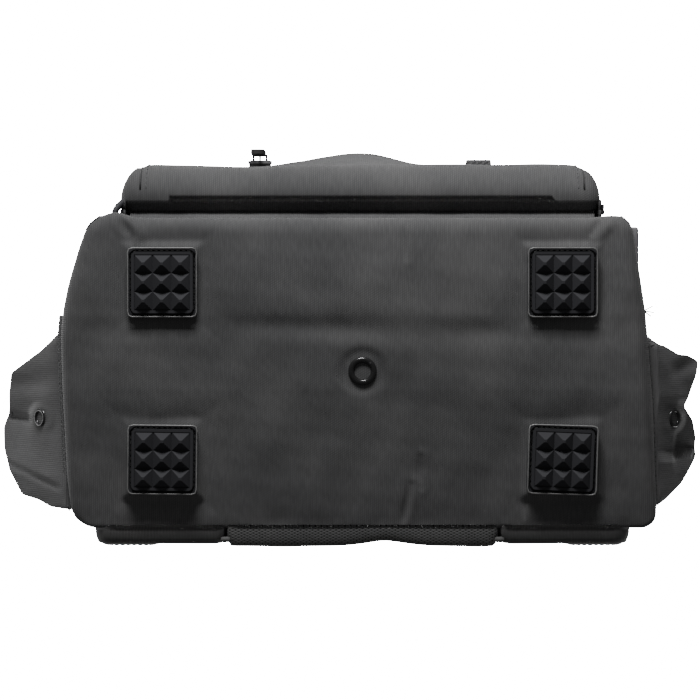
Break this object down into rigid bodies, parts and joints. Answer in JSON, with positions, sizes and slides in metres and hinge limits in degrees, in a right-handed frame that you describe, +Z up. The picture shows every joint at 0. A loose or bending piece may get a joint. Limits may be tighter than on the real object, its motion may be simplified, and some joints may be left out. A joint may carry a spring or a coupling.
{
  "type": "camera backpack",
  "caption": "Padded woven camera backpack on moulded rubber feet, with a zipped front door and pocket, open side pockets, dividers, laptop sleeve and shoulder straps.",
  "frame": {"origin": "middle of the whole bag's footprint, on the floor that its four feet stand on", "axes": "+X to the right as the bag is seen from its front, +Y towards its padded back, +Z up"},
  "size_m": [0.378, 0.2404, 0.4915],
  "materials": {
    "shell_fabric": "matt charcoal woven polyester, padded",
    "foot_rubber": "semi-gloss moulded black rubber",
    "eyelet_metal": "black nickel, polished",
    "lining_fabric": "grey brushed lining over foam",
    "board_plastic": "black polyethylene sheet",
    "binding_elastic": "ribbed black elastic",
    "back_mesh": "black spacer mesh",
    "back_fabric": "smooth black padded fabric",
    "webbing": "ribbed black webbing",
    "buckle_plastic": "black moulded acetal",
    "zip_coil": "black coil zip on woven tape",
    "slider_metal": "black enamelled zinc",
    "pull_plastic": "soft moulded black pull"
  },
  "bodies": {
    "bag": {"bottom_panel": "shell_fabric", "front_frame": "shell_fabric", "back_panel": "shell_fabric", "top_panel": "shell_fabric", "side_panel_left": "shell_fabric", "side_panel_right": "shell_fabric", "bottom_board": "board_plastic", "bottom_lining": "lining_fabric", "back_board": "board_plastic", "back_lining": "lining_fabric", "laptop_sleeve": "lining_fabric", "divider_upright_left": "lining_fabric", "divider_upright_right": "lining_fabric", "dividers_left": "lining_fabric", "dividers_middle": "lining_fabric", "dividers_right": "lining_fabric", "foot_front_left": "foot_rubber", "foot_front_right": "foot_rubber", "foot_back_left": "foot_rubber", "foot_back_right": "foot_rubber", "drain_eyelet": "eyelet_metal", "drain_washer": "eyelet_metal", "side_pocket_left": "shell_fabric", "pocket_binding_left": "binding_elastic", "side_pocket_right": "shell_fabric", "pocket_binding_right": "binding_elastic", "pocket_eyelets": "eyelet_metal", "main_zip_body": "zip_coil", "back_pad_center": "back_mesh", "back_pad_right": "back_fabric", "back_pad_left": "back_fabric", "shoulder_strap_left": "back_fabric", "ladder_lock_left": "buckle_plastic", "strap_wing_left": "back_fabric", "strap_webbing_left": "webbing", "sternum_rails": "webbing", "shoulder_strap_right": "back_fabric", "ladder_lock_right": "buckle_plastic", "strap_wing_right": "back_fabric", "strap_webbing_right": "webbing", "strap_yoke": "back_fabric", "handle_anchors": "webbing"},
    "door": {"door_panel": "shell_fabric", "main_zip_door": "zip_coil", "front_pocket": "shell_fabric", "pocket_zip": "zip_coil", "front_tab": "webbing"},
    "main_slider_left": {"main_slider_left": "slider_metal"},
    "main_slider_right": {"main_slider_right": "slider_metal"},
    "main_pull_left": {"main_pull_left": "pull_plastic"},
    "main_pull_right": {"main_pull_right": "pull_plastic"},
    "pocket_slider": {"pocket_slider": "slider_metal"},
    "pocket_pull": {"pocket_pull": "pull_plastic"},
    "grab_handle": {"grab_handle": "webbing", "handle_grip": "back_fabric"},
    "sternum_left": {"sternum_strap_left": "webbing", "buckle_socket": "buckle_plastic"},
    "sternum_right": {"sternum_clip_right": "buckle_plastic"},
    "buckle_tongue": {"buckle_tongue": "buckle_plastic", "sternum_strap_right": "webbing"}
  },
  "joints": [
    {"name": "door_hinge", "type": "hinge", "parent": "bag", "child": "door", "pos_m": [0.00635, -0.08107, 0.036], "axis": [1, 0, 0], "range_deg": [0, 90]},
    {"name": "main_zip_left", "type": "slide", "parent": "door", "child": "main_slider_left", "axis": [1, 0, 0], "range_m": [-0.0528, 0]},
    {"name": "main_pull_swing_left", "type": "hinge", "parent": "main_slider_left", "child": "main_pull_left", "pos_m": [-0.00165, -0.08107, 0.42735], "axis": [-1, 0, 0], "range_deg": [0, 110]},
    {"name": "main_zip_right", "type": "slide", "parent": "door", "child": "main_slider_right", "axis": [1, 0, 0], "range_m": [0, 0.0528]},
    {"name": "main_pull_swing_right", "type": "hinge", "parent": "main_slider_right", "child": "main_pull_right", "pos_m": [0.01435, -0.08107, 0.42735], "axis": [-1, 0, 0], "range_deg": [0, 110]},
    {"name": "pocket_zip_run", "type": "slide", "parent": "door", "child": "pocket_slider", "axis": [1, 0, 0], "range_m": [-0.028, 0.148]},
    {"name": "pocket_pull_swing", "type": "hinge", "parent": "pocket_slider", "child": "pocket_pull", "pos_m": [-0.05365, -0.11715, 0.15], "axis": [-1, 0, 0], "range_deg": [0, 120]},
    {"name": "handle_fold", "type": "hinge", "parent": "bag", "child": "grab_handle", "pos_m": [0.00635, 0.07105, 0.444], "axis": [1, 0, 0], "range_deg": [-75, 75]},
    {"name": "sternum_height_left", "type": "slide", "parent": "bag", "child": "sternum_left", "axis": [0, 0, 1], "range_m": [-0.04, 0.04]},
    {"name": "sternum_height_right", "type": "slide", "parent": "bag", "child": "sternum_right", "axis": [0, 0, 1], "range_m": [-0.04, 0.04]},
    {"name": "buckle_release", "type": "slide", "parent": "sternum_right", "child": "buckle_tongue", "axis": [1, 0, 0], "range_m": [0, 0.025]}
  ],
  "couplings": [
    {"joint": "sternum_height_right", "follows": "sternum_height_left", "ratio": 1}
  ]
}
